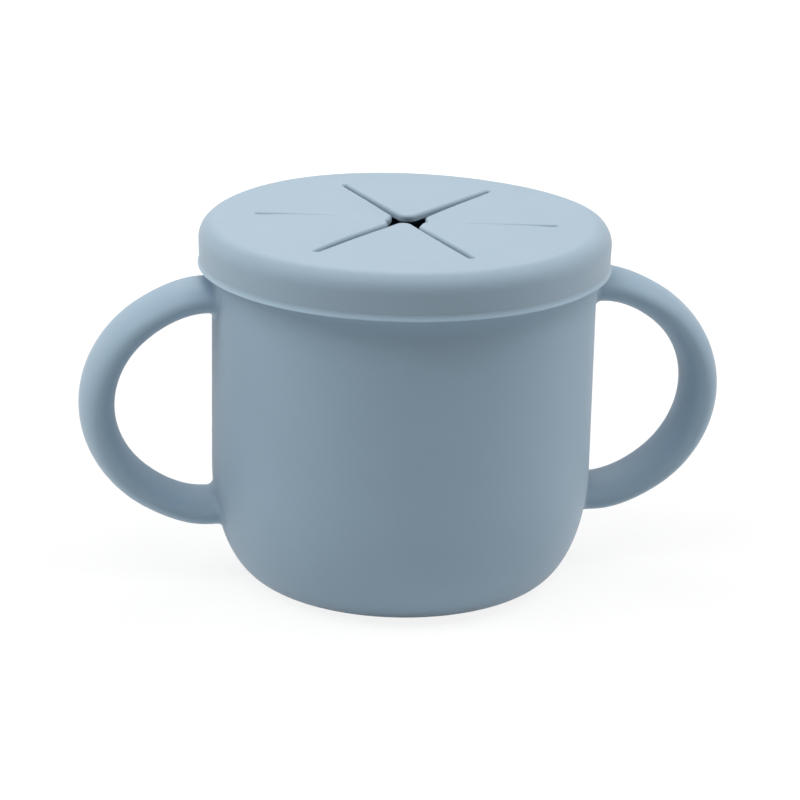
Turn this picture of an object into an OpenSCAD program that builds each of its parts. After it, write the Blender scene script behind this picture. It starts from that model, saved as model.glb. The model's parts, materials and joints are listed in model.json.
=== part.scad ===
// Two-handled silicone snack cup with a soft cap lid.
// The cap's flat top is cut by radial slits into flaps that bend in for a small hand.
// Origin: centre of the flat base. +Z is up and the handles lie along X.

/* [Cup] */
// Outside diameter of the straight wall
cup_d = 84.2; // [76:0.1:110]
// Height of the rim above the table
cup_h = 78.7; // [72:0.1:120]
// Thickness of the moulded wall
cup_wall = 2.6; // [2:0.1:4]
// Thickness of the floor
cup_floor = 3; // [2:0.1:6]
// Diameter of the flat base
base_d = 61.6; // [46:0.1:68]
// Height of the rounded lower corner
corner_h = 25; // [14:0.5:34]
// Rounding of the rim's two edges
rim_round = 0.8; // [0.3:0.1:0.9]

/* [Handles] */
// Radius of the handle's centre line
handle_r = 23.7; // [18:0.1:25]
// Distance from the cup's wall out to the centre of the handle's arc
handle_out = 1.6; // [0.5:0.1:12]
// Thickness of the strap, seen from the front
handle_t = 7.4; // [5:0.1:10]
// Width of the strap, from front to back
handle_w = 16.4; // [10:0.1:22]
// Gap between the lid's lower edge and the top of the handle
handle_gap = 3.1; // [1:0.1:6]

/* [Lid] */
// Thickness of the cap's skirt
skirt_t = 2.6; // [1.6:0.1:5]
// Height of the cap, from its lower edge to its flat top
lid_h = 9.4; // [7:0.1:16]
// Thickness of the flat top and of the flaps
lid_t = 1.6; // [1.2:0.1:2.4]
// Radius of the rounded edge round the top
lid_round = 4; // [2:0.1:4.5]
// Gap between the cap and the cup's wall, inside and outside
lid_gap = 0.3; // [0.2:0.05:0.6]
// Depth of the inner lip below the flat top
lip_depth = 4; // [2:0.1:8]
// Thickness of the inner lip
lip_t = 1.6; // [1:0.1:2.5]
// Height of the flared bead along the lower edge
bead_h = 1.7; // [1.2:0.1:2.4]
// How far the bead stands proud of the skirt
bead_out = 0.25; // [0.1:0.05:0.6]

/* [Slits and flaps] */
// Distance from the end of a slit out to the inner lip
slit_margin = 4.3; // [2:0.1:12]
// Width of a slit
slit_w = 1.25; // [1.2:0.05:1.6]
// Radius of a flap's tip
tip_r = 2; // [1:0.1:4]
// Distance from the line between two slit ends in to the line that the flap turns about
bend_in = 4.3; // [3:0.1:6]
// Angle from the right handle round to the nearest slit
lid_turn = -14.7; // [-30:0.1:30]
// Furthest that a flap bends either way, in degrees
flap_bend = 70; // [40:1:70]
// Running gap round a flap's rounded root
root_gap = 0.1; // [0.1:0.05:0.2]

/* [Hidden] */
$fn = 96;

// Slits round the middle of the lid, which is also the number of flaps in the list of nodes
slits = 6;

// Segments along a short edge rounding, along the long lower corner and round a handle's section
edge_steps = 8;
corner_steps = 16;
section_steps = 40;

body_colour = [0.52, 0.60, 0.66];
lid_colour = [0.62, 0.70, 0.77];

cup_r = cup_d / 2;
inner_r = cup_r - cup_wall;
base_r = base_d / 2;

skirt_in = cup_r + lid_gap;
lid_r = skirt_in + skirt_t;
lid_top = cup_h + lid_t;
lid_edge = lid_top - lid_h;
lip_out = inner_r - lid_gap;
lip_in = lip_out - lip_t;

handle_x = cup_r + handle_out;
handle_z = lid_edge - handle_gap - handle_t / 2 - handle_r;

// A flap turns about a straight line a little way in from the ends of its two slits, where a
// soft flap that is fixed at its root and pushed at its tip seems to turn.
// Its root is a half-round bead of the top's own thickness, in a seat that clears the full bend.
sector = 360 / slits;
slit_r = lip_in - slit_margin;
hinge_r = slit_r * cos(sector / 2) - bend_in;
hinge_z = lid_top - lid_t / 2;
root_r = lid_t / 2;
seat_r = root_r / cos(flap_bend / 2) + root_gap;
slit_apex = slit_w / 2 / sin(sector / 2);

// Points along an elliptical arc, from angle a to angle b
function arc(x, z, rx, rz, a, b, steps) =
    [for (i = [0 : steps]) let (t = a + (b - a) * i / steps) [x + rx * cos(t), z + rz * sin(t)]];

// Outline of the cup's outside, from the middle of the base to the rim
function cup_outside() = concat(
    [[0, 0]],
    arc(base_r, corner_h, cup_r - base_r, corner_h, -90, 0, corner_steps),
    arc(cup_r - rim_round, cup_h - rim_round, rim_round, rim_round, 0, 90, edge_steps)
);

// Outline of the cup's inside, from the rim to the middle of the floor
function cup_inside() = concat(
    arc(inner_r + rim_round, cup_h - rim_round, rim_round, rim_round, 90, 180, edge_steps),
    arc(base_r, corner_h, inner_r - base_r, corner_h - cup_floor, 0, -90, corner_steps),
    [[0, cup_floor]]
);

module cup_body() {
    color(body_colour)
        rotate_extrude()
            polygon(concat(cup_outside(), cup_inside()));
}

// The space inside the cup's outer surface, which a handle's roots are cut to
module cup_envelope() {
    rotate_extrude()
        polygon(concat(cup_outside(), [[0, cup_h]]));
}

// Section of a handle's strap, with its middle at distance x
module strap_section(x = 0) {
    polygon(arc(x, 0, handle_t / 2, handle_w / 2, 0, 360 * (1 - 1 / section_steps), section_steps - 1));
}

// Half ring on the +X side, with two straight arms that run into the cup's wall
module handle_ring() {
    difference() {
        translate([handle_x, 0, handle_z]) {
            rotate([90, 0, 0])
                rotate([0, 0, -90])
                    rotate_extrude(angle = 180)
                        strap_section(handle_r);
            for (side = [-1, 1])
                translate([0, 0, side * handle_r])
                    rotate([0, -90, 0])
                        linear_extrude(handle_x - base_r)
                            strap_section();
        }
        cup_envelope();
    }
}

module handle_right() {
    color(body_colour) handle_ring();
}

module handle_left() {
    color(body_colour) mirror([1, 0, 0]) handle_ring();
}

// Outline of the cap before it is slit: flat top, rounded edge, skirt with its bead, and inner lip
function cap_outline() = concat(
    [[0, lid_top]],
    arc(lid_r - lid_round, lid_top - lid_round, lid_round, lid_round, 90, 0, edge_steps * 2),
    [[lid_r, lid_edge + bead_h]],
    arc(lid_r + bead_out - bead_h / 2, lid_edge + bead_h / 2, bead_h / 2, bead_h / 2, 0, -90, edge_steps),
    [
        [skirt_in, lid_edge],
        [skirt_in, cup_h],
        [lip_out, cup_h]
    ],
    arc(lip_out - lip_t / 2, cup_h - lip_depth + lip_t / 2, lip_t / 2, lip_t / 2, 0, -180, edge_steps),
    [
        [lip_in, cup_h],
        [0, cup_h]
    ]
);

// The opening that the flaps close: a prism through the top with a round seat along each side,
// and the outer ends of the slits, which run on past its corners
module flap_opening() {
    side = 2 * hinge_r * tan(sector / 2);
    translate([0, 0, cup_h - lid_t])
        rotate([0, 0, lid_turn])
            cylinder(r = hinge_r / cos(sector / 2), h = 3 * lid_t, $fn = slits);
    for (i = [1 : slits]) {
        rotate([0, 0, flap_angle(i)])
            translate([hinge_r, 0, hinge_z])
                rotate([90, 0, 0])
                    cylinder(r = seat_r, h = side, center = true);
        rotate([0, 0, slit_angle(i)])
            translate([0, -slit_w / 2, cup_h - lid_t])
                cube([slit_r, slit_w, 3 * lid_t]);
    }
}

module lid_rim() {
    color(lid_colour)
        difference() {
            rotate_extrude()
                polygon(cap_outline());
            flap_opening();
        }
}

// Direction of slit number i, and of the middle of the flap that follows it
function slit_angle(i) = lid_turn + sector * (i - 1);
function flap_angle(i) = slit_angle(i) + sector / 2;

// Plan of a flap that points along +X: straight sides half a slit back from the cuts, and a round tip
module flap_plan(reach) {
    tip_x = slit_apex + tip_r / sin(sector / 2);
    touch_x = tip_x - tip_r * sin(sector / 2);
    touch_y = tip_r * cos(sector / 2);
    root_y = (reach - slit_apex) * tan(sector / 2);
    polygon([[touch_x, -touch_y], [reach, -root_y], [reach, root_y], [touch_x, touch_y]]);
    translate([tip_x, 0]) circle(r = tip_r);
}

module flap(i) {
    color(lid_colour)
        rotate([0, 0, flap_angle(i)]) {
            translate([0, 0, cup_h])
                linear_extrude(lid_t)
                    flap_plan(hinge_r);
            intersection() {
                translate([hinge_r, 0, hinge_z])
                    rotate([90, 0, 0])
                        cylinder(r = root_r, h = 2 * slit_r, center = true);
                translate([0, 0, cup_h - lid_t])
                    linear_extrude(3 * lid_t)
                        flap_plan(hinge_r + 2 * root_r);
            }
        }
}

module flap_1() { flap(1); }
module flap_2() { flap(2); }
module flap_3() { flap(3); }
module flap_4() { flap(4); }
module flap_5() { flap(5); }
module flap_6() { flap(6); }

cup_body();
handle_left();
handle_right();
lid_rim();
flap_1();
flap_2();
flap_3();
flap_4();
flap_5();
flap_6();
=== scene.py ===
"""Looks of a two-handled silicone snack cup with a soft slit lid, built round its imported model.

The object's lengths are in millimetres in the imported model's frame, and become metres when a mesh is
made. The studio round it is in metres. The cup and its handles are one moulding, and the lid with its
flaps is the other.
"""

import json
import logging
import math
from dataclasses import dataclass, field
from enum import Enum
from typing import Iterable, Sequence

import bmesh
import bpy
from mathutils import Matrix, Vector


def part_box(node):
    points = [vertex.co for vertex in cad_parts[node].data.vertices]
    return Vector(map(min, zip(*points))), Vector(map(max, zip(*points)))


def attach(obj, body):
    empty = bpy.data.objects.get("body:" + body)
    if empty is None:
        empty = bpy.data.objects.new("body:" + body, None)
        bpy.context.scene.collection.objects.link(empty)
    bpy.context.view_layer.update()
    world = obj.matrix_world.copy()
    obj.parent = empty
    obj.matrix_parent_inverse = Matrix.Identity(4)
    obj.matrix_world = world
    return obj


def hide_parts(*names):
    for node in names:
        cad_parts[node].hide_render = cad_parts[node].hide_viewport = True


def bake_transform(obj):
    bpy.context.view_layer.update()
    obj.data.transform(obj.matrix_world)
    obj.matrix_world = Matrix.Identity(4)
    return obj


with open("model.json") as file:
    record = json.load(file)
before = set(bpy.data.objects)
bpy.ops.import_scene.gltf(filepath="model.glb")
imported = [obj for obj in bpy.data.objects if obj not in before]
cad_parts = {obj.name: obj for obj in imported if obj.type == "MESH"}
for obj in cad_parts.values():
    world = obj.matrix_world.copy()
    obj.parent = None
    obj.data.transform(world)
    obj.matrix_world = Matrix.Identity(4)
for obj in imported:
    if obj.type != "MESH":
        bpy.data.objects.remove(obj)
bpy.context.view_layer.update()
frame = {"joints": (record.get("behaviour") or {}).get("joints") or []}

LOG = logging.getLogger("snack_cup")
MM = 0.001

Colour = tuple[float, float, float]
Place = tuple[float, float, float]
Point = tuple[float, float]


class Body(Enum):
    """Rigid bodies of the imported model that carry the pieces. Each flap also has one of its own."""

    CUP = "cup"
    LID = "lid"


class Slot(Enum):
    """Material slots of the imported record."""

    CUP = "cup_silicone"
    LID = "lid_silicone"


class Side(Enum):
    """The side that a handle stands on. The value is the sign of its X."""

    LEFT = -1
    RIGHT = 1


def clamped(share: float) -> float:
    """Returns a share kept between 0 and 1."""
    return min(max(share, 0.0), 1.0)


def smooth(share: float) -> float:
    """Returns a share that leaves 0 and reaches 1 gently, and is kept between them."""
    kept = clamped(share)
    return kept * kept * (3 - 2 * kept)


def towards(azimuth: float, elevation: float) -> Vector:
    """Finds the direction from the cup to a camera or a lamp.

    Args:
        azimuth: angle round the cup, in degrees. 0 is in front of it and 90 to its right.
        elevation: angle above the floor, in degrees.

    Returns:
        The direction, of length 1.
    """
    a, e = math.radians(azimuth), math.radians(elevation)
    return Vector((math.sin(a) * math.cos(e), -math.cos(a) * math.cos(e), math.sin(e)))


def arc(x: float, z: float, rx: float, rz: float, start: float, end: float, steps: int) -> list[Point]:
    """Samples an elliptical arc.

    Args:
        x: centre, across.
        z: centre, up.
        rx: radius across.
        rz: radius up.
        start: first angle, in degrees.
        end: last angle, in degrees.
        steps: number of equal steps.

    Returns:
        The points of the arc, both ends included.
    """
    turns = [math.radians(start + (end - start) * i / steps) for i in range(steps + 1)]
    return [(x + rx * math.cos(t), z + rz * math.sin(t)) for t in turns]


def eased(
    outline: Sequence[Point], closed: bool, reach: float = 0.15, longest: float = 1.0
) -> list[Point]:
    """Adds a point near each end of long straights, so that smooth shading stays flat on them.

    Args:
        outline: corner points, in order.
        closed: whether the last point is joined to the first.
        reach: distance of the added points from a straight's ends.
        longest: length above which a straight gets them.

    Returns:
        The outline with the added points.
    """
    made: list[Point] = []
    count = len(outline)
    for i, (x, z) in enumerate(outline):
        made.append((x, z))
        if i == count - 1 and not closed:
            break
        nx, nz = outline[(i + 1) % count]
        length = math.hypot(nx - x, nz - z)
        if length > longest:
            for share in (reach / length, 1 - reach / length):
                made.append((x + (nx - x) * share, z + (nz - z) * share))
    return made


class Shell:
    """A closed skin under construction: points in millimetres, and faces that number them.

    Points nearer than merge become one, and an edge that turns by more than sharp degrees stays sharp.
    """

    merge: float = 0.001
    sharp: float = 38.0

    def __init__(self) -> None:
        """Starts with no points and no faces."""
        self.points: list[Vector] = []
        self.faces: list[tuple[int, ...]] = []

    def row(self, points: Iterable[Vector]) -> list[int]:
        """Adds points.

        Args:
            points: the points, in order.

        Returns:
            Their numbers.
        """
        first = len(self.points)
        self.points.extend(points)
        return list(range(first, len(self.points)))

    def strip(self, low: Sequence[int], high: Sequence[int], closed: bool = True) -> None:
        """Joins two equally long rows by quads.

        Args:
            low: numbers of the first row.
            high: numbers of the second row.
            closed: whether the rows close on themselves.
        """
        count = len(low)
        for i in range(count if closed else count - 1):
            j = (i + 1) % count
            self.faces.append((low[i], low[j], high[j], high[i]))

    def grid(self, rows: Sequence[Sequence[int]], closed: bool = True) -> None:
        """Joins each row to the next.

        Args:
            rows: rows of numbers, all equally long.
            closed: whether each row closes on itself.
        """
        for low, high in zip(rows, rows[1:]):
            self.strip(low, high, closed)

    def cap(self, rim: Sequence[int]) -> None:
        """Closes a ring with a fan of triangles.

        Args:
            rim: numbers of the ring's points.
        """
        middle = sum((self.points[i] for i in rim), Vector()) / len(rim)
        hub = self.row([middle])[0]
        for i, start in enumerate(rim):
            self.faces.append((start, rim[(i + 1) % len(rim)], hub))

    def piece(self, name: str) -> bpy.types.Object:
        """Makes the object.

        Args:
            name: the piece's name.

        Returns:
            A smooth object in metres, with its points merged and its normals outwards.
        """
        mesh = bpy.data.meshes.new(name)
        mesh.from_pydata([point * MM for point in self.points], [], self.faces)
        skin = bmesh.new()
        skin.from_mesh(mesh)
        bmesh.ops.remove_doubles(skin, verts=skin.verts, dist=self.merge * MM)
        bmesh.ops.recalc_face_normals(skin, faces=skin.faces)
        skin.to_mesh(mesh)
        skin.free()
        mesh.shade_smooth()
        mesh.set_sharp_from_angle(angle=math.radians(self.sharp))
        made = bpy.data.objects.new(name, mesh)
        bpy.context.scene.collection.objects.link(made)
        return made


def turned(outline: Sequence[Point], azimuths: Sequence[float], closed: bool) -> Shell:
    """Turns an outline about the Z axis.

    Args:
        outline: points as distance from the axis and height.
        azimuths: angles of the copies, in degrees.
        closed: whether the outline closes on itself. An open one runs from the axis to the axis.

    Returns:
        The skin.
    """
    shell = Shell()
    turns = [math.radians(a) for a in azimuths]
    rings = [shell.row(Vector((r * math.cos(t), r * math.sin(t), z)) for t in turns) for r, z in outline]
    shell.grid(rings + rings[:1] if closed else rings)
    return shell


class Graph:
    """A node tree that is filled node by node."""

    def __init__(self, tree: bpy.types.NodeTree) -> None:
        """Empties the tree.

        Args:
            tree: the tree of a material or of the world.
        """
        self.tree = tree
        tree.nodes.clear()

    def add(
        self, kind: str, inputs: dict[str | int, object] | None = None, **settings: object
    ) -> bpy.types.Node:
        """Adds a node.

        Args:
            kind: the node's type name.
            inputs: for each socket's name or number, its value or the output that feeds it.
            settings: the node's own settings.

        Returns:
            The node.
        """
        node = self.tree.nodes.new(kind)
        for name, value in settings.items():
            setattr(node, name, value)
        for key, value in (inputs or {}).items():
            if isinstance(value, bpy.types.NodeSocket):
                self.tree.links.new(value, node.inputs[key])
            else:
                node.inputs[key].default_value = value
        return node


@dataclass(frozen=True)
class Silicone:
    """A matt moulded silicone. Sizes, depths and heights are in millimetres.

    Below painted_highlight_low it is paler by painted_highlight_share, a painted highlight for the light
    caught by the lid's bead; it fades out up to painted_highlight_high.
    """

    name: str
    slot: Slot
    colour: Colour
    mottle: float = 0.03
    mottle_size: float = 16.0
    roughness: tuple[float, float] = (0.50, 0.60)
    roughness_size: float = 4.0
    ripple_size: float = 11.0
    ripple_depth: float = 0.02
    grain_size: float = 0.3
    grain_depth: float = 0.002
    ior: float = 1.41
    sheen: float = 0.25
    sheen_roughness: float = 0.5
    painted_highlight_share: float = 0.0
    painted_highlight_low: float = 0.0
    painted_highlight_high: float = 1.0

    def noise(
        self, graph: Graph, place: bpy.types.NodeSocket, size: float, detail: float
    ) -> bpy.types.NodeSocket:
        """Adds a noise.

        Args:
            graph: the material's nodes.
            place: the coordinates, in metres.
            size: the size of its features.
            detail: the number of finer octaves.

        Returns:
            The noise's value.
        """
        scale = 1 / (size * MM)
        node = graph.add("ShaderNodeTexNoise", {"Vector": place, "Scale": scale, "Detail": detail})
        return node.outputs["Fac"]

    def bump(
        self,
        graph: Graph,
        place: bpy.types.NodeSocket,
        size: float,
        depth: float,
        over: bpy.types.NodeSocket | None = None,
    ) -> bpy.types.NodeSocket:
        """Adds a bump.

        Args:
            graph: the material's nodes.
            place: the coordinates, in metres.
            size: the size of its features.
            depth: the depth of its features.
            over: the normal that it adds to, where that isn't the surface's own.

        Returns:
            The bumped normal.
        """
        height = self.noise(graph, place, size, detail=1.0)
        inputs: dict[str | int, object] = {"Height": height, "Distance": depth * MM}
        if over is not None:
            inputs["Normal"] = over
        return graph.add("ShaderNodeBump", inputs).outputs["Normal"]

    def material(self) -> bpy.types.Material:
        """Builds the material.

        Returns:
            The material, whose colour, roughness and bump vary with the place on the object.
        """
        made = bpy.data.materials.new(self.name)
        made.use_nodes = True
        graph = Graph(made.node_tree)
        place = graph.add("ShaderNodeTexCoord").outputs["Object"]
        low, high = self.roughness
        uneven = self.noise(graph, place, self.roughness_size, detail=2.0)
        rough = graph.add("ShaderNodeMapRange", {"Value": uneven, "To Min": low, "To Max": high})
        ripple = self.bump(graph, place, self.ripple_size, self.ripple_depth)
        grain = self.bump(graph, place, self.grain_size, self.grain_depth, over=ripple)
        shader = graph.add(
            "ShaderNodeBsdfPrincipled",
            {
                "Base Color": self.tint(graph, place),
                "Roughness": rough.outputs["Result"],
                "Normal": grain,
                "IOR": self.ior,
                "Sheen Weight": self.sheen,
                "Sheen Roughness": self.sheen_roughness,
            },
        )
        graph.add("ShaderNodeOutputMaterial", {"Surface": shader.outputs["BSDF"]})
        return made

    def tint(self, graph: Graph, place: bpy.types.NodeSocket) -> bpy.types.NodeSocket:
        """Adds the mottled colour, with a painted highlight that makes it paler along a thin lower edge
        where the finish has one.

        Args:
            graph: the material's nodes.
            place: the coordinates, in metres.

        Returns:
            The colour.
        """
        mottle = self.noise(graph, place, self.mottle_size, detail=3.0)
        ramp = graph.add("ShaderNodeValToRGB", {"Fac": mottle})
        for element, share in zip(ramp.color_ramp.elements, (1 - self.mottle, 1 + self.mottle)):
            element.color = (*(c * share for c in self.colour), 1.0)
        if not self.painted_highlight_share:
            return ramp.outputs["Color"]
        # Painted highlight: the colour is scaled paler low on the piece, standing for light caught by
        # the lid's flared bead.
        height = graph.add("ShaderNodeSeparateXYZ", {"Vector": place}).outputs["Z"]
        painted_highlight_scale = graph.add(
            "ShaderNodeMapRange",
            {
                "Value": height,
                "From Min": self.painted_highlight_high * MM,
                "From Max": self.painted_highlight_low * MM,
                "To Min": 1.0,
                "To Max": 1.0 + self.painted_highlight_share,
            },
        )
        scaled = graph.add(
            "ShaderNodeVectorMath",
            {0: ramp.outputs["Color"], "Scale": painted_highlight_scale.outputs["Result"]},
            operation="SCALE",
        )
        return scaled.outputs["Vector"]


def place_on(piece: bpy.types.Object, finish: Silicone, body: Body, node: str) -> None:
    """Dresses a piece, lets it stand for a node and ride on its body.

    Args:
        piece: the piece.
        finish: its finish.
        body: the body that carries it.
        node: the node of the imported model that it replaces.
    """
    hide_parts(node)
    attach(piece, body.value)
    wear(piece, finish)


def wear(piece: bpy.types.Object, finish: Silicone) -> None:
    """Gives a piece its material, and reports it.

    Args:
        piece: the piece.
        finish: its finish.
    """
    material = bpy.data.materials.get(finish.name) or finish.material()
    piece.data.materials.append(material)
    size = [round(side / MM, 1) for side in piece.dimensions]
    LOG.info("%s: %d faces, %s mm, %s", piece.name, len(piece.data.polygons), size, finish.name)


@dataclass
class Cup:
    """The cup without its handles: an even wall on a flat base, with a long rounded lower corner."""

    finish: Silicone
    wall_r: float
    height: float
    wall: float = 2.6
    floor: float = 3.0
    base_r: float = 30.8
    corner_h: float = 25.0
    rim_round: float = 0.8
    around: int = 256
    corner_steps: int = 56
    rim_steps: int = 8

    @classmethod
    def from_frame(cls, finish: Silicone) -> "Cup":
        """Sizes the cup by its node.

        Args:
            finish: the cup's finish.

        Returns:
            The cup.
        """
        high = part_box("cup_body")[1] / MM
        return cls(finish, wall_r=high.x, height=high.z)

    def radius_at(self, z: float) -> float:
        """Returns the outside radius at a height."""
        share = clamped((self.corner_h - z) / self.corner_h)
        return self.base_r + (self.wall_r - self.base_r) * math.sqrt(1 - share * share)

    def wall_x(self, y: float, z: float) -> float:
        """Returns how far out along X the wall stands at a place."""
        return math.sqrt(max(self.radius_at(z) ** 2 - y * y, 0.0))

    def outline(self) -> list[Point]:
        """Returns half of the section, from the base's middle over the rim to the floor's middle."""
        inner_r = self.wall_r - self.wall
        rim, rim_z = self.rim_round, self.height - self.rim_round
        base_r, corner_h, steps = self.base_r, self.corner_h, self.corner_steps
        return [
            (0.0, 0.0),
            *arc(base_r, corner_h, self.wall_r - base_r, corner_h, -90, 0, steps),
            *arc(self.wall_r - rim, rim_z, rim, rim, 0, 90, self.rim_steps),
            *arc(inner_r + rim, rim_z, rim, rim, 90, 180, self.rim_steps),
            *arc(base_r, corner_h, inner_r - base_r, corner_h - self.floor, 0, -90, steps),
            (0.0, self.floor),
        ]

    def build(self) -> None:
        """Makes the cup's wall and floor."""
        azimuths = [360 * i / self.around for i in range(self.around)]
        piece = turned(eased(self.outline(), closed=False), azimuths, closed=False).piece("cup_wall")
        place_on(piece, self.finish, Body.CUP, "cup_body")


@dataclass(frozen=True)
class Stance:
    """How a soft handle stands: its bend's lost radius, and how far its far end is drawn out and up."""

    slack: float
    out: float
    up: float


@dataclass
class Handle:
    """A flat strap bent to half a ring, whose two ends run into the cup's wall on soft fillets.

    Its far end is drawn out and a little thicker than its arms, and the arms spread at the wall. Past a
    fillet, the skin runs on by edge_run under the wall's surface, and it is closed at a depth of sink.
    """

    cup: Cup
    side: Side
    width: float
    centre_z: float
    outer_r: float
    reach: float
    stance: Stance
    thick: float = 7.2
    swell: float = 0.6
    far_power: int = 4
    spread: float = 0.8
    spread_reach: float = 14.0
    inner_fillet: float = 1.7
    outer_fillet: float = 1.1
    fillet_pull: float = 0.55
    edge_run: float = 0.3
    edge_sink: float = 0.08
    sink: float = 0.6
    around: int = 64
    bend_steps: int = 72
    fillet_steps: int = 9

    @classmethod
    def from_frame(cls, cup: Cup, side: Side, stance: Stance) -> "Handle":
        """Sizes a handle by its node.

        Args:
            cup: the cup that it stands on.
            side: the side that it stands on.
            stance: how it stands.

        Returns:
            The handle.
        """
        low, high = (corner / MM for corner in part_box(f"handle_{side.name.lower()}"))
        return cls(
            cup,
            side,
            width=high.y - low.y,
            centre_z=(low.z + high.z) / 2,
            outer_r=(high.z - low.z) / 2,
            reach=max(high.x, -low.x),
            stance=stance,
        )

    @property
    def centre_x(self) -> float:
        """Returns the distance of the bend's centre from the cup's axis."""
        return self.reach - self.outer_r

    @property
    def bend_r(self) -> float:
        """Returns the radius of the strap's centre line."""
        return self.outer_r - self.stance.slack - self.thick / 2

    def on_wall(self, out: float, across: float, end: int, lift: float = 0.0) -> Vector:
        """Finds a point on the cup's wall beside a root.

        Args:
            out: distance from the strap's centre line, away from the bend's centre.
            across: distance from the strap's middle, front to back.
            end: 1 for the upper root and -1 for the lower one.
            lift: distance off the wall.

        Returns:
            The point.
        """
        z = self.centre_z + end * (self.bend_r + self.spread + out)
        return Vector((self.cup.wall_x(across, z) + lift, across, z))

    def root(self, turn: float, end: int) -> list[Vector]:
        """Follows one line of the strap through its fillet into the wall.

        Args:
            turn: angle round the strap's section.
            end: 1 for the upper root and -1 for the lower one.

        Returns:
            The points from the fillet's start to the line's sunk end.
        """
        half_t, half_w = self.thick / 2, self.width / 2
        out, across = half_t * math.cos(turn), half_w * math.sin(turn)
        away = Vector((half_w * math.cos(turn), half_t * math.sin(turn))).normalized()
        inward = (1 - math.cos(turn)) / 2
        fillet = self.outer_fillet + (self.inner_fillet - self.outer_fillet) * inward
        foot = self.on_wall(out, across, end)
        start = foot + Vector((min(fillet, self.centre_x - foot.x), 0, 0))
        stop = self.on_wall(out + fillet * away.x, across + fillet * away.y, end)
        pull = self.fillet_pull
        first, second = start.lerp(foot, pull), stop.lerp(foot, pull)
        curve = []
        for i in range(self.fillet_steps + 1):
            t = i / self.fillet_steps
            s = 1 - t
            curve.append(start * s**3 + first * 3 * s * s * t + second * 3 * s * t * t + stop * t**3)
        past = fillet + self.edge_run
        edge = self.on_wall(out + past * away.x, across + past * away.y, end, lift=-self.edge_sink)
        return [*curve, edge, self.on_wall(out, across, end, lift=-self.sink)]

    def strand(self, turn: float) -> list[Vector]:
        """Follows one line of the strap from its lower root round the bend to its upper root.

        Args:
            turn: angle round the strap's section, 0 at the outer side of the bend.

        Returns:
            The points.
        """
        across = self.width / 2 * math.sin(turn)
        middle = []
        for i in range(self.bend_steps + 1):
            bend = math.pi * (i / self.bend_steps - 0.5)
            far = math.cos(bend) ** self.far_power
            half_t = (self.thick + self.swell * far) / 2
            radius = self.bend_r + half_t * math.cos(turn)
            x, z = radius * math.cos(bend), radius * math.sin(bend)
            z += math.copysign(self.spread_at(x), bend) + self.stance.up * far
            x += self.stance.out * far
            middle.append(Vector((self.centre_x + x, across, self.centre_z + z)))
        return [*reversed(self.root(turn, -1)), *middle, *self.root(turn, 1)]

    def spread_at(self, away: float) -> float:
        """Returns how far an arm has spread at a distance from the bend's centre, along X."""
        return self.spread * smooth(1 - away / self.spread_reach)

    def build(self) -> None:
        """Makes the handle."""
        turns = [math.tau * i / self.around for i in range(self.around)]
        flip = Vector((self.side.value, 1, 1))
        shell = Shell()
        rings = [shell.row(point * flip for point in ring) for ring in zip(*map(self.strand, turns))]
        shell.grid(rings)
        shell.cap(rings[0])
        shell.cap(rings[-1])
        name = self.side.name.lower()
        piece = shell.piece(f"handle_loop_{name}")
        place_on(piece, self.cup.finish, Body.CUP, f"handle_{name}")


@dataclass(frozen=True)
class Wave:
    """A soft rise of the lid, or a dip where its height is negative.

    Its place is given by the direction and the distance from the lid's middle.
    """

    azimuth: float
    spread: float
    height: float
    radius: float = 45.0
    width: float = 9.0

    def rise(self, spot: Vector) -> float:
        """Returns how far the wave raises a place of the lid."""
        turn = math.degrees(math.atan2(spot.y, spot.x)) - self.azimuth
        turn = (turn + 180) % 360 - 180
        off = (turn / self.spread) ** 2 + ((spot.xy.length - self.radius) / self.width) ** 2
        return self.height * math.exp(-off)


def waved(shell: Shell, waves: Iterable[Wave]) -> Shell:
    """Raises a skin by the lid's waves.

    Args:
        shell: the skin.
        waves: the waves.

    Returns:
        The same skin.
    """
    for point in shell.points:
        point.z += sum(wave.rise(point) for wave in waves)
    return shell


@dataclass(frozen=True)
class Rest:
    """How one soft flap lies while nobody touches it.

    Its end is cut at a distance from the lid's middle, on a slant in degrees, and has round corners.
    It stands proud of the flat top by a lift at its end and by a bulge along most of its length, or lies
    below it where these are negative.
    """

    cut: float
    slant: float
    corner: float
    lift: float
    bulge: float


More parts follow.
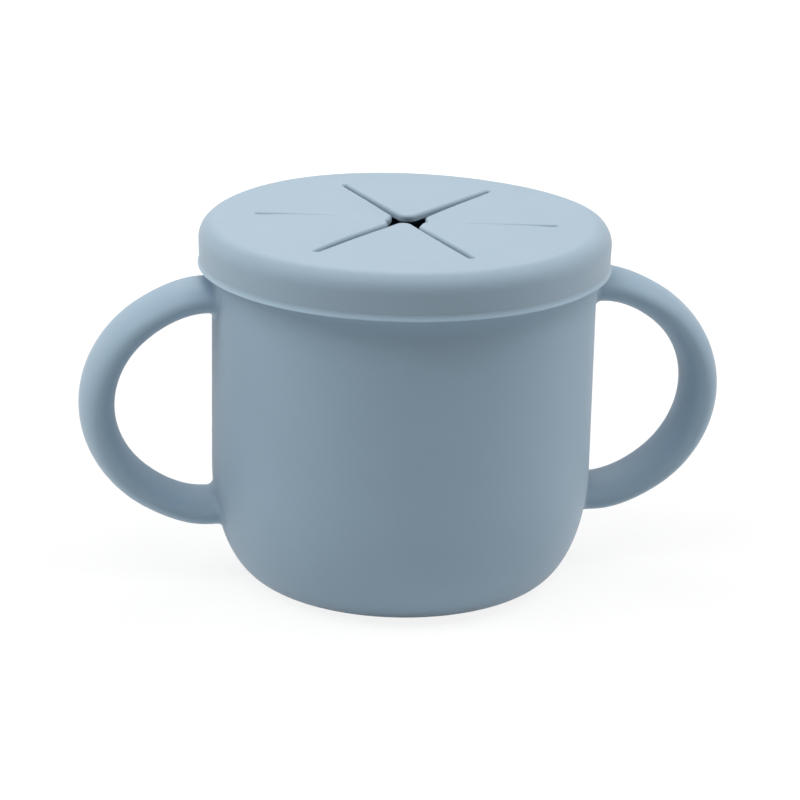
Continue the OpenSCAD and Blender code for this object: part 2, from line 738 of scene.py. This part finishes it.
@dataclass
class Petal:
    """One flap between two slits, with the part of the flat top that carries it.

    It is drawn pointing along +X and turned to its direction. An inset is a distance inwards from its
    edge. Its rest's lift starts at lift_from, a distance from the lid's middle, and grows to its end.
    Its rest's bulge is full inside the first of bulge_ends, and fades out up to the second.
    """

    finish: Silicone
    number: int
    top: float
    direction: float
    hinge_r: float
    rest: Rest
    waves: tuple[Wave, ...]
    sector: float = 60.0
    thick: float = 1.6
    slit_w: float = 0.95
    slit_end: float = 32.9
    seam_r: float = 36.0
    bend_reach: float = 4.3
    lift_from: float = 31.0
    bulge_ends: tuple[float, float] = (26.0, 33.0)
    top_round: float = 0.7
    under_round: float = 0.22
    support: float = 0.12
    round_steps: int = 8
    columns: int = 36
    corner_steps: int = 12
    end_steps: int = 5
    carrier_steps: int = 3
    fine_step: float = 0.55
    coarse_step: float = 1.6

    @classmethod
    def from_joint(
        cls, finish: Silicone, number: int, top: float, rest: Rest, waves: tuple[Wave, ...]
    ) -> "Petal":
        """Places a flap by its joint.

        Args:
            finish: the lid's finish.
            number: the flap's number.
            top: height of the flat top.
            rest: how the flap lies.
            waves: the lid's waves.

        Returns:
            The petal.
        """
        joint = next(j for j in frame["joints"] if j["name"] == f"flap_{number}_bend")
        pivot = Vector(joint["pos_m"]).xy / MM
        direction = math.degrees(math.atan2(pivot.y, pivot.x))
        return cls(finish, number, top, direction, pivot.length, rest, waves)

    @property
    def half(self) -> float:
        """Returns half the angle between the petal's two slits, in radians."""
        return math.radians(self.sector / 2)

    def beside_slit(self, along: float, inward: float) -> Vector:
        """Finds a point by the slit on the petal's +Y side.

        Args:
            along: distance from the lid's middle, along the slit.
            inward: distance from the slit's middle line, towards the petal.

        Returns:
            The point in plan.
        """
        across = Vector((math.sin(self.half), -math.cos(self.half)))
        return Vector((math.cos(self.half), math.sin(self.half))) * along + across * inward

    def corner(self, inset: float, slant: float) -> tuple[float, list[Vector]]:
        """Rounds the corner between the slit on the +Y side and the flap's cut end.

        Args:
            inset: distance inwards from the edge.
            slant: slant of the cut end, in radians.

        Returns:
            How far along the slit the round starts, and its points from the slit to the cut end.
        """
        radius = self.rest.corner - inset
        outward = self.beside_slit(1, 0)
        inward = self.beside_slit(0, 1)
        cut = Vector((math.sin(slant), -math.cos(slant)))
        middle = Vector((self.rest.cut + inset / math.cos(slant), 0))
        side = inward * (self.slit_w / 2 + inset)
        along = Matrix(((outward.x, cut.x), (outward.y, cut.y))).inverted() @ (middle - side)
        turn = math.pi / 2 - self.half + slant
        start = along.x + radius * math.tan(turn / 2)
        centre = outward * start + side + inward * radius
        points = []
        for i in range(self.corner_steps + 1):
            spoke = Matrix.Rotation(turn * i / self.corner_steps, 2) @ (inward * -radius)
            points.append(centre + spoke)
        return start, points

    def shares(self) -> list[float]:
        """Returns places from the flap's end, 0, to the slit's end, 1, closest where the flap bends."""
        first, last = self.rest.cut, self.slit_end
        fine_from = self.hinge_r - 2 * self.bend_reach
        spots = [first]
        while spots[-1] < last - self.fine_step:
            spots.append(spots[-1] + (self.fine_step if spots[-1] > fine_from else self.coarse_step))
        return [(spot - first) / (spots[-1] - first) for spot in spots]

    def side(self, inset: float, slant: float) -> tuple[list[Vector], list[Vector], list[Vector]]:
        """Follows the cut edge on the +Y side.

        Args:
            inset: distance inwards from the edge.
            slant: slant of the cut end, in radians.

        Returns:
            The round end of the slit, the straight from there to the flap's end, and the corner there.
        """
        inward = self.slit_w / 2 + inset
        last = self.slit_end - self.slit_w / 2
        turns = [math.pi / 2 * i / self.end_steps for i in range(self.end_steps)]
        slit_end = [self.beside_slit(last + inward * math.cos(t), inward * math.sin(t)) for t in turns]
        start, corner = self.corner(inset, slant)
        spots = [start + (last - start) * share for share in reversed(self.shares())]
        straight = [self.beside_slit(spot, inward) for spot in spots]
        return slit_end, straight, corner

    def sides(self, inset: float) -> tuple[list[list[Vector]], list[list[Vector]]]:
        """Returns what side() gives for the petal's +Y side and, mirrored, for its -Y side."""
        slant = math.radians(self.rest.slant)
        other = [[Vector((p.x, -p.y)) for p in part] for part in self.side(inset, -slant)]
        return list(self.side(inset, slant)), other

    def edge(self, inset: float) -> list[Vector]:
        """Returns the cut edge in plan, from one slit's end round the flap's end to the other slit's."""
        (slit_end, straight, _), (other_end, other_straight, _) = self.sides(inset)
        middle = self.tip(inset)[1:-1]
        return [*slit_end, *straight, *middle, *reversed(other_straight), *reversed(other_end)]

    def tip(self, inset: float) -> list[Vector]:
        """Returns the flap's end in plan: a corner, the cut between, and the other corner."""
        (_, _, corner), (_, _, other) = self.sides(inset)
        steps = self.columns - 2 * self.corner_steps
        cut = [corner[-1].lerp(other[-1], i / steps) for i in range(1, steps)]
        return [*corner, *cut, *reversed(other)]

    def face_rows(self, inset: float) -> tuple[list[list[Vector]], list[list[Vector]]]:
        """Fills the flat face inside an edge, and on out to the seam with the rest of the lid.

        Args:
            inset: distance inwards from the edge.

        Returns:
            Rows of points across the petal: those as wide as the flap, from its end out, and then those
            that run to the seams with its neighbours.
        """
        (slit_end, straight, _), (other_end, other_straight, _) = self.sides(inset)
        flap = [self.tip(inset)]
        for near, far in list(zip(reversed(straight), reversed(other_straight)))[1:]:
            flap.append([self.between(near, far, i / self.columns) for i in range(self.columns + 1)])
        carrier = [[*slit_end, *flap[-1], *reversed(other_end)]]
        first = slit_end[0].length
        for i in range(1, self.carrier_steps + 1):
            radius = first + (self.seam_r - first) * i / self.carrier_steps
            turns = self.seam_turns(radius, inset)
            carrier.append([Vector((math.cos(t), math.sin(t))) * radius for t in turns])
        return flap, carrier

    def between(self, near: Vector, far: Vector, share: float) -> Vector:
        """Finds a point on the arc between two points, whose radius changes evenly.

        Args:
            near: first point in plan.
            far: second point in plan.
            share: 0 at the first point and 1 at the second.

        Returns:
            The point in plan.
        """
        start, end = math.atan2(near.y, near.x), math.atan2(far.y, far.x)
        turn = start + (end - start) * share
        radius = near.length + (far.length - near.length) * share
        return Vector((math.cos(turn), math.sin(turn))) * radius

    def seam_turns(self, radius: float, inset: float) -> list[float]:
        """Returns the angles of the points across the petal at a radius beyond the slits, in radians."""
        inward = self.slit_w / 2 + inset
        steps = self.end_steps
        outer = [self.half - math.asin(inward * i / steps / radius) for i in range(steps + 1)]
        inner = [outer[-1] * (1 - 2 * i / self.columns) for i in range(1, self.columns)]
        return [*outer, *inner, *(-t for t in reversed(outer))]

    def lifted(self, spot: Vector) -> float:
        """Returns how far a place in plan stands proud of the flat top."""
        away = spot.length
        lift = max(self.lift_from - away, 0.0) / (self.lift_from - self.rest.cut)
        full, none = self.bulge_ends
        return self.rest.lift * lift * lift + self.rest.bulge * smooth((none - away) / (none - full))

    def levels(self) -> list[Point]:
        """Returns inset and height of each loop round the cut edge, from the top to the underside."""
        under = self.top - self.thick
        big, small = self.top_round, self.under_round
        return [
            (big + self.support, self.top),
            *arc(big, self.top - big, big, big, 90, 180, self.round_steps),
            *arc(small, under + small, small, small, 180, 270, self.round_steps // 2),
            (small + self.support, under),
        ]

    def build(self) -> None:
        """Makes the petal and hides the flap's node, which it stands in for."""
        turn = Matrix.Rotation(math.radians(self.direction), 3, "Z")
        shell = Shell()

        def raised(points: Iterable[Vector], z: float) -> list[int]:
            """Adds points in plan at a height and returns their numbers."""
            return shell.row(turn @ Vector((p.x, p.y, z + self.lifted(p))) for p in points)

        levels = self.levels()
        loops = [raised(self.edge(inset), z) for inset, z in levels]
        shell.grid(loops, closed=False)
        carriers = []
        for inset, z in (levels[0], levels[-1]):
            flap, carrier = self.face_rows(inset)
            shell.grid([raised(row, z) for row in flap], closed=False)
            carriers.append([raised(row, z) for row in carrier])
            shell.grid(carriers[-1], closed=False)
        over, under = carriers
        shell.strip(over[-1], under[-1], closed=False)
        for end in (0, -1):
            down = [loop[end] for loop in loops]
            below = [row[end] for row in under[1:]]
            above = [row[end] for row in reversed(over[1:])]
            shell.faces.append((*down, *below, *above))
        piece = waved(shell, self.waves).piece(f"lid_flap_{self.number}")
        node = f"flap_{self.number}"
        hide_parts(node)
        along = turn @ Vector((1, 0, 0))
        middle = Vector((0, 0, self.top - self.thick / 2))
        end = (along * (self.hinge_r - self.bend_reach) + middle) * MM
        wear(piece, self.finish)
        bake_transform(piece)


@dataclass
class Lid:
    """The cap: a flat top with a rounded edge, a skirt with a thin flared bead, and an inner lip.

    The skirt draws in a little towards the bead, which flares back to about the skirt's full radius.
    """

    finish: Silicone
    cup: Cup
    top: float
    edge: float
    reach: float
    edge_round: float = 4.0
    gap: float = 0.3
    lip_depth: float = 4.0
    lip: float = 1.6
    bead_h: float = 1.45
    bead_drop: float = 0.2
    bead_out: float = 0.26
    bead_round: float = 0.22
    bead_groove: float = 0.05
    skirt_draw: float = 0.1
    packed_bead: float = 0.25
    shoulder_steps: int = 28
    flare_steps: int = 8
    low_steps: int = 6
    inner_steps: int = 5
    lip_steps: int = 12
    waves: tuple[Wave, ...] = ()
    petals: list[Petal] = field(default_factory=list)

    @classmethod
    def from_frame(
        cls, finish: Silicone, cup: Cup, rests: Sequence[Rest], waves: tuple[Wave, ...]
    ) -> "Lid":
        """Sizes the lid by its nodes and joints.

        Args:
            finish: the lid's finish.
            cup: the cup that it closes.
            rests: how each flap lies, in the order of their numbers.
            waves: the lid's waves.

        Returns:
            The lid with its petals.
        """
        low, high = (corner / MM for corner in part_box("lid_rim"))
        lid = cls(finish, cup, top=high.z, edge=low.z - cls.bead_drop, reach=high.x, waves=waves)
        for i, rest in enumerate(rests):
            lid.petals.append(Petal.from_joint(finish, i + 1, lid.top, rest, waves))
        return lid

    @property
    def radius(self) -> float:
        """Returns the outside radius of the skirt above its bead."""
        return self.reach - self.packed_bead

    def bead(self) -> list[Point]:
        """Returns the outline of the lower edge: a shallow groove, a hollow flare and a round."""
        start = self.edge + self.bead_h
        above = self.radius - self.skirt_draw
        flare_z = start - self.bead_groove * 2
        fall = self.bead_h - self.bead_groove * 2 - self.bead_round
        shares = [i / self.flare_steps for i in range(self.flare_steps + 1)]
        flare = [(above + self.bead_out * share**2, flare_z - fall * share) for share in shares]
        tilt = math.degrees(math.atan2(2 * self.bead_out, fall))
        centre_x = flare[-1][0] - self.bead_round * math.cos(math.radians(tilt))
        centre_z = flare[-1][1] - self.bead_round * math.sin(math.radians(tilt))
        drop = centre_z - self.edge
        low_round = arc(centre_x, centre_z, self.bead_round, drop, tilt, -90, self.low_steps)
        return [
            (above, start + self.bead_groove),
            (above - self.bead_groove, start),
            *flare,
            *low_round[1:],
        ]

    def outline(self) -> list[Point]:
        """Returns the section of the ring outside the petals, as a closed outline."""
        seam_r = self.petals[0].seam_r
        under = self.top - self.petals[0].thick
        skirt_in = self.cup.wall_r + self.gap
        lip_out = self.cup.wall_r - self.cup.wall - self.gap
        lip_in = lip_out - self.lip
        lip_r, lip_z = self.lip / 2, under - self.lip_depth + self.lip / 2
        big, small = self.edge_round, self.bead_round
        shoulder = arc(self.radius - big, self.top - big, big, big, 90, 0, self.shoulder_steps)
        inner_round = arc(skirt_in + small, self.edge + small, small, small, 270, 180, self.inner_steps)
        return [
            (seam_r, self.top),
            *shoulder,
            *self.bead(),
            *inner_round,
            (skirt_in, under),
            (lip_out, under),
            *arc(lip_out - lip_r, lip_z, lip_r, lip_r, 0, -180, self.lip_steps),
            (lip_in, under),
            (seam_r, under),
        ]

    def build(self) -> None:
        """Makes the lid's ring and its petals, which meet it at the same points."""
        first = self.petals[0]
        turns = first.seam_turns(first.seam_r, first.top_round + first.support)
        azimuths = [
            petal.direction + math.degrees(turn) for petal in self.petals for turn in reversed(turns[1:])
        ]
        shell = turned(eased(self.outline(), closed=True), azimuths, closed=True)
        ring = waved(shell, self.waves).piece("lid_cap")
        place_on(ring, self.finish, Body.LID, "lid_rim")
        for petal in self.petals:
            petal.build()


@dataclass(frozen=True)
class Viewpoint:
    """The camera's place. Angles are in degrees, and distances are in millimetres on the object."""

    azimuth: float = -10.01
    elevation: float = 18.505
    roll: float = 1.188
    distance: float = 635.7
    aim_across: float = -0.386
    aim_height: float = 38.88
    lens: float = 128.75
    sensor: float = 36.0
    nearest_m: float = 0.02
    furthest_m: float = 50.0

    def build(self) -> None:
        """Makes the camera and gives it to the scene."""
        back = towards(self.azimuth, self.elevation)
        a, r = math.radians(self.azimuth), math.radians(self.roll)
        level = Vector((math.cos(a), math.sin(a), 0))
        rise = back.cross(level)
        right = level * math.cos(r) + rise * math.sin(r)
        up = rise * math.cos(r) - level * math.sin(r)
        spot = (level * self.aim_across + Vector((0, 0, self.aim_height)) + back * self.distance) * MM
        data = bpy.data.cameras.new("camera")
        data.lens = self.lens
        data.sensor_width = self.sensor
        data.clip_start = self.nearest_m
        data.clip_end = self.furthest_m
        camera = bpy.data.objects.new("camera", data)
        camera.matrix_world = Matrix.Translation(spot) @ Matrix((right, up, back)).transposed().to_4x4()
        bpy.context.scene.collection.objects.link(camera)
        bpy.context.scene.camera = camera


@dataclass(frozen=True)
class Softbox:
    """A rectangular lamp that faces a place on the cup. Its angles are as in towards()."""

    name: str
    azimuth: float
    elevation: float
    width: float
    height: float
    watts: float
    distance: float = 0.9
    colour: Colour = (1.0, 1.0, 1.0)
    aim: Place = (0.0, 0.0, 0.045)

    def build(self) -> None:
        """Makes the lamp."""
        back = towards(self.azimuth, self.elevation)
        data = bpy.data.lights.new(self.name, "AREA")
        data.shape = "RECTANGLE"
        data.size = self.width
        data.size_y = self.height
        data.energy = self.watts
        data.color = self.colour
        lamp = bpy.data.objects.new(self.name, data)
        lamp.rotation_mode = "QUATERNION"
        lamp.rotation_quaternion = back.to_track_quat("Z", "Y")
        lamp.location = Vector(self.aim) + back * self.distance
        bpy.context.scene.collection.objects.link(lamp)


@dataclass
class Studio:
    """A white floor in white surroundings, with plain soft lamps. The floor's drop is in millimetres."""

    lamps: tuple[Softbox, ...]
    backdrop: Colour = (1.0, 1.0, 1.0)
    floor_r: float = 6.0
    floor_sides: int = 64
    floor_drop: float = 0.05
    shadow_r: float = 0.16
    shadow_fade: float = 0.30
    bounce: float = 0.85
    shown_albedo: float = 0.16
    near_glow: float = 0.86

    def seen(self, graph: Graph) -> bpy.types.NodeSocket:
        """Adds a switch that is 1 for camera, glossy and transmission rays, and 0 for others."""
        path = graph.add("ShaderNodeLightPath").outputs
        either = graph.add(
            "ShaderNodeMath", {0: path["Is Camera Ray"], 1: path["Is Glossy Ray"]}, operation="MAXIMUM"
        )
        return graph.add(
            "ShaderNodeMath", {0: either.outputs[0], 1: path["Is Transmission Ray"]}, operation="MAXIMUM"
        ).outputs[0]

    def surroundings(self) -> None:
        """Makes the world, which is white where it is seen and gives no other light."""
        world = bpy.data.worlds.new("surroundings")
        world.use_nodes = True
        graph = Graph(world.node_tree)
        white = graph.add(
            "ShaderNodeBackground", {"Color": (*self.backdrop, 1), "Strength": self.seen(graph)}
        )
        graph.add("ShaderNodeOutputWorld", {"Surface": white.outputs[0]})
        bpy.context.scene.world = world

    def floor_material(self) -> bpy.types.Material:
        """Builds the floor's paper.

        Returns:
            The material. Near the cup it shows the lamps' light and shadow weakly, further out it is
            plain white, and to other rays it is white paper.
        """
        made = bpy.data.materials.new("floor_paper")
        made.use_nodes = True
        graph = Graph(made.node_tree)
        seen = self.seen(graph)
        place = graph.add("ShaderNodeTexCoord").outputs["Object"]
        away = graph.add("ShaderNodeVectorMath", {0: place}, operation="LENGTH").outputs["Value"]
        far = graph.add(
            "ShaderNodeMapRange",
            {"Value": away, "From Min": self.shadow_r, "From Max": self.shadow_fade},
            interpolation_type="SMOOTHSTEP",
        ).outputs["Result"]
        glow = graph.add("ShaderNodeMapRange", {"Value": far, "To Min": self.near_glow, "To Max": 1.0})
        shown = graph.add("ShaderNodeMath", {0: glow.outputs["Result"], 1: seen}, operation="MULTIPLY")
        albedo = graph.add(
            "ShaderNodeMapRange", {"Value": seen, "To Min": self.bounce, "To Max": self.shown_albedo}
        )
        paper = graph.add("ShaderNodeBsdfDiffuse", {"Color": albedo.outputs["Result"]})
        light = graph.add("ShaderNodeEmission", {"Strength": shown.outputs[0]})
        both = graph.add("ShaderNodeAddShader", {0: paper.outputs[0], 1: light.outputs[0]})
        graph.add("ShaderNodeOutputMaterial", {"Surface": both.outputs[0]})
        return made

    def floor(self) -> None:
        """Makes the floor, a wide disc just below the cup's base."""
        shell = Shell()
        turns = [math.tau * i / self.floor_sides for i in range(self.floor_sides)]
        radius = self.floor_r / MM
        low = -self.floor_drop
        rim = shell.row(Vector((radius * math.cos(t), radius * math.sin(t), low)) for t in turns)
        shell.cap(rim)
        piece = shell.piece("floor")
        piece.data.materials.append(self.floor_material())

    def build(self) -> None:
        """Makes the world, the floor and the lamps."""
        bpy.context.scene.view_settings.view_transform = "Standard"
        self.surroundings()
        self.floor()
        for lamp in self.lamps:
            lamp.build()


CUP_FINISH = Silicone("cup_silicone_matt", Slot.CUP, colour=(0.298, 0.417, 0.520))
# The lid's colour is greyer and less blue than the cup's: a painted reflection that stands for the
# grazing reflection off the lid's top.
LID_FINISH = Silicone(
    "lid_silicone_matt",
    Slot.LID,
    colour=(0.300, 0.407, 0.495),
    # The paler band from 71.2 to 72.2 mm is a painted highlight on the lid's bead.
    painted_highlight_share=0.25,
    painted_highlight_low=71.2,
    painted_highlight_high=72.2,
)
HANDLE_STANCES = {
    Side.LEFT: Stance(slack=0.3, out=0.4, up=0.0),
    Side.RIGHT: Stance(slack=0.12, out=0.35, up=0.2),
}
FLAP_RESTS = (
    Rest(cut=5.0, slant=-22, corner=1.5, lift=-0.65, bulge=-0.15),
    Rest(cut=3.1, slant=0, corner=2.2, lift=0.1, bulge=0.0),
    Rest(cut=4.3, slant=22, corner=1.5, lift=-0.4, bulge=-0.06),
    Rest(cut=4.5, slant=-20, corner=1.5, lift=0.2, bulge=0.12),
    Rest(cut=3.0, slant=0, corner=1.8, lift=0.25, bulge=-0.05),
    Rest(cut=4.2, slant=22, corner=1.5, lift=-0.25, bulge=0.1),
)
LID_WAVES = (
    Wave(azimuth=118, spread=34, height=0.42),
    Wave(azimuth=50, spread=24, height=-0.22),
    Wave(azimuth=4, spread=16, height=0.3),
    Wave(azimuth=190, spread=40, height=0.5, radius=19, width=11),
)
LAMPS = (
    Softbox("steep_left", azimuth=-45, elevation=68, width=0.4, height=0.4, watts=2.22),
    Softbox("steep_right", azimuth=45, elevation=68, width=0.4, height=0.4, watts=1.66),
    Softbox("high_left", azimuth=-90, elevation=45, width=0.5, height=0.5, watts=3.24),
    Softbox("high_right", azimuth=90, elevation=45, width=0.5, height=0.5, watts=2.9),
    Softbox("high_back", azimuth=180, elevation=45, width=0.5, height=0.5, watts=2.24),
    Softbox("low_left", azimuth=-120, elevation=12, width=0.45, height=0.6, watts=1.33),
    Softbox("low_right", azimuth=90, elevation=12, width=0.45, height=0.6, watts=0.86),
)


def main() -> None:
    """Builds the camera, the studio, the cup with its handles and the lid with its flaps."""
    logging.basicConfig(level=logging.INFO, format="%(name)s: %(message)s")
    Viewpoint().build()
    Studio(LAMPS).build()
    cup = Cup.from_frame(CUP_FINISH)
    cup.build()
    for side in Side:
        Handle.from_frame(cup, side, HANDLE_STANCES[side]).build()
    Lid.from_frame(LID_FINISH, cup, FLAP_RESTS, LID_WAVES).build()


if __name__ == "__main__":
    main()
